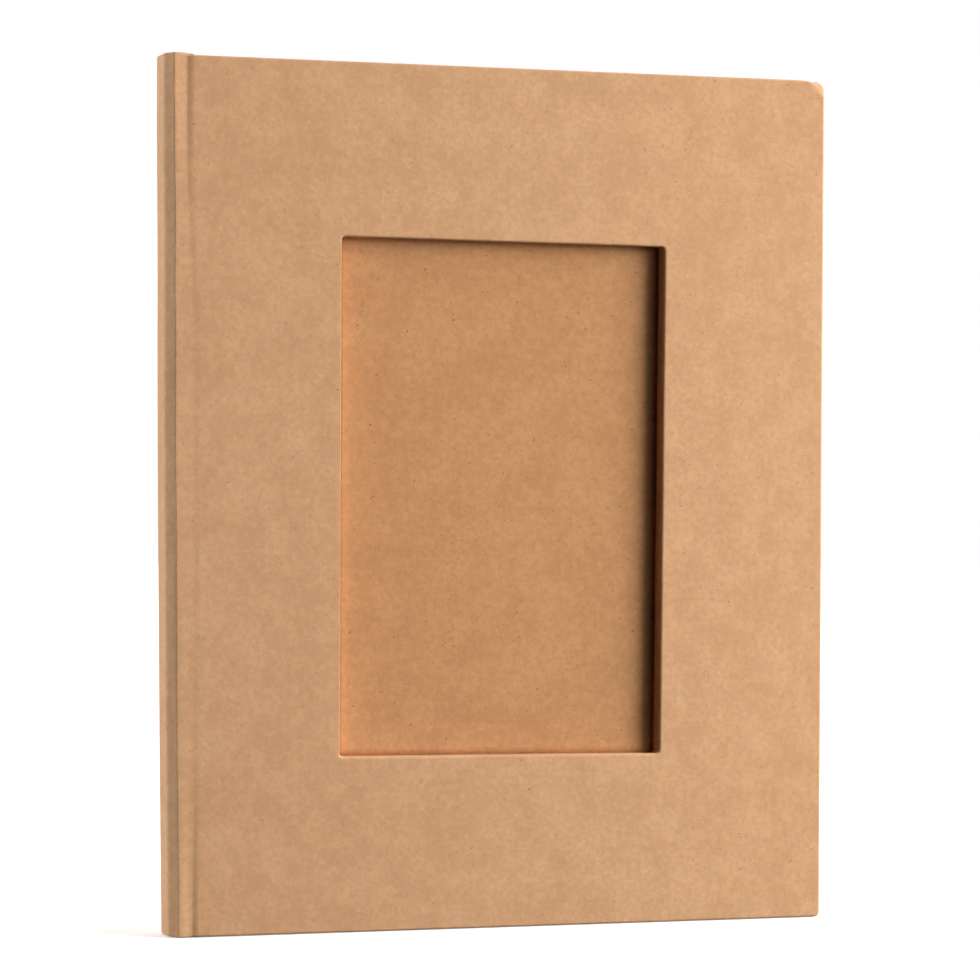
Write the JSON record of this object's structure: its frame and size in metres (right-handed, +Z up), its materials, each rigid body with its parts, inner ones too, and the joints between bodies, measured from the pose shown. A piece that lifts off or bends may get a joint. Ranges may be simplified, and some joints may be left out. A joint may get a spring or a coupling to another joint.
{
  "type": "scrapbook album",
  "caption": "Upright case-bound blank scrapbook album in plain kraft paper, with a sunken rectangular picture window in the front cover and card leaves.",
  "frame": {"origin": "centre of the base, where the standing album's lower edges rest", "axes": "+Z up along the spine, from tail to head; +Y out of the back cover, so the front cover with its window faces -Y; +X from the spine to the fore edge"},
  "size_m": [0.2032, 0.016, 0.2541],
  "materials": {
    "kraft_paper": "uncoated kraft paper with fine fibres and dark specks",
    "window_backing": "uncoated kraft paper, a shade darker and more orange",
    "greyboard": "matte grey board",
    "card_leaf": "matte off-white card",
    "endpaper": "matte cream paper",
    "binding_glue": "card edges set in glue",
    "spine_lining": "matte crepe paper"
  },
  "bodies": {
    "spine": {"spine_cover_paper": "kraft_paper", "spine_board": "greyboard", "spine_lining": "spine_lining", "binding_stubs": "binding_glue"},
    "front_cover": {"front_cover_paper": "kraft_paper", "front_window_board": "greyboard", "window_backing_paper": "window_backing", "front_backing_board": "greyboard", "front_endpaper": "endpaper"},
    "front_flyleaf": {"front_flyleaf": "endpaper"},
    "leaf_01": {"leaf_01": "card_leaf"},
    "leaf_02": {"leaf_02": "card_leaf"},
    "leaf_03": {"leaf_03": "card_leaf"},
    "leaf_04": {"leaf_04": "card_leaf"},
    "leaf_05": {"leaf_05": "card_leaf"},
    "leaf_06": {"leaf_06": "card_leaf"},
    "leaf_07": {"leaf_07": "card_leaf"},
    "leaf_08": {"leaf_08": "card_leaf"},
    "leaf_09": {"leaf_09": "card_leaf"},
    "leaf_10": {"leaf_10": "card_leaf"},
    "back_flyleaf": {"back_flyleaf": "endpaper"},
    "back_cover": {"back_cover_paper": "kraft_paper", "back_board": "greyboard", "back_endpaper": "endpaper"}
  },
  "joints": [
    {"name": "front_cover_hinge", "type": "hinge", "parent": "spine", "child": "front_cover", "pos_m": [-0.0939, -0.008, 0.12675], "axis": [0, 0, -1], "range_deg": [0, 175]},
    {"name": "front_flyleaf_hinge", "type": "hinge", "parent": "spine", "child": "front_flyleaf", "pos_m": [-0.0939, -0.008, 0.12675], "axis": [0, 0, -1], "range_deg": [0, 164.5]},
    {"name": "leaf_01_hinge", "type": "hinge", "parent": "spine", "child": "leaf_01", "pos_m": [-0.0939, -0.008, 0.12675], "axis": [0, 0, -1], "range_deg": [0, 149.8]},
    {"name": "leaf_02_hinge", "type": "hinge", "parent": "spine", "child": "leaf_02", "pos_m": [-0.0939, -0.008, 0.12675], "axis": [0, 0, -1], "range_deg": [0, 135.1]},
    {"name": "leaf_03_hinge", "type": "hinge", "parent": "spine", "child": "leaf_03", "pos_m": [-0.0939, -0.008, 0.12675], "axis": [0, 0, -1], "range_deg": [0, 120.4]},
    {"name": "leaf_04_hinge", "type": "hinge", "parent": "spine", "child": "leaf_04", "pos_m": [-0.0939, -0.008, 0.12675], "axis": [0, 0, -1], "range_deg": [0, 105.7]},
    {"name": "leaf_05_hinge", "type": "hinge", "parent": "spine", "child": "leaf_05", "pos_m": [-0.0939, -0.008, 0.12675], "axis": [0, 0, -1], "range_deg": [0, 91]},
    {"name": "leaf_06_hinge", "type": "hinge", "parent": "spine", "child": "leaf_06", "pos_m": [-0.0939, -0.008, 0.12675], "axis": [0, 0, -1], "range_deg": [0, 76.3]},
    {"name": "leaf_07_hinge", "type": "hinge", "parent": "spine", "child": "leaf_07", "pos_m": [-0.0939, -0.008, 0.12675], "axis": [0, 0, -1], "range_deg": [0, 61.6]},
    {"name": "leaf_08_hinge", "type": "hinge", "parent": "spine", "child": "leaf_08", "pos_m": [-0.0939, -0.008, 0.12675], "axis": [0, 0, -1], "range_deg": [0, 46.9]},
    {"name": "leaf_09_hinge", "type": "hinge", "parent": "spine", "child": "leaf_09", "pos_m": [-0.0939, -0.008, 0.12675], "axis": [0, 0, -1], "range_deg": [0, 32.2]},
    {"name": "leaf_10_hinge", "type": "hinge", "parent": "spine", "child": "leaf_10", "pos_m": [-0.0939, -0.008, 0.12675], "axis": [0, 0, -1], "range_deg": [0, 17.5]},
    {"name": "back_cover_hinge", "type": "hinge", "parent": "spine", "child": "back_cover", "pos_m": [-0.0939, 0.008, 0.12675], "axis": [0, 0, 1], "range_deg": [0, 175]},
    {"name": "back_flyleaf_hinge", "type": "hinge", "parent": "spine", "child": "back_flyleaf", "pos_m": [-0.0939, 0.008, 0.12675], "axis": [0, 0, 1], "range_deg": [0, 105]}
  ],
  "couplings": [
    {"joint": "front_flyleaf_hinge", "follows": "front_cover_hinge", "ratio": 0.94},
    {"joint": "leaf_01_hinge", "follows": "front_cover_hinge", "ratio": 0.856},
    {"joint": "leaf_02_hinge", "follows": "front_cover_hinge", "ratio": 0.772},
    {"joint": "leaf_03_hinge", "follows": "front_cover_hinge", "ratio": 0.688},
    {"joint": "leaf_04_hinge", "follows": "front_cover_hinge", "ratio": 0.604},
    {"joint": "leaf_05_hinge", "follows": "front_cover_hinge", "ratio": 0.52},
    {"joint": "leaf_06_hinge", "follows": "front_cover_hinge", "ratio": 0.436},
    {"joint": "leaf_07_hinge", "follows": "front_cover_hinge", "ratio": 0.352},
    {"joint": "leaf_08_hinge", "follows": "front_cover_hinge", "ratio": 0.268},
    {"joint": "leaf_09_hinge", "follows": "front_cover_hinge", "ratio": 0.184},
    {"joint": "leaf_10_hinge", "follows": "front_cover_hinge", "ratio": 0.1},
    {"joint": "back_flyleaf_hinge", "follows": "back_cover_hinge", "ratio": 0.6}
  ]
}
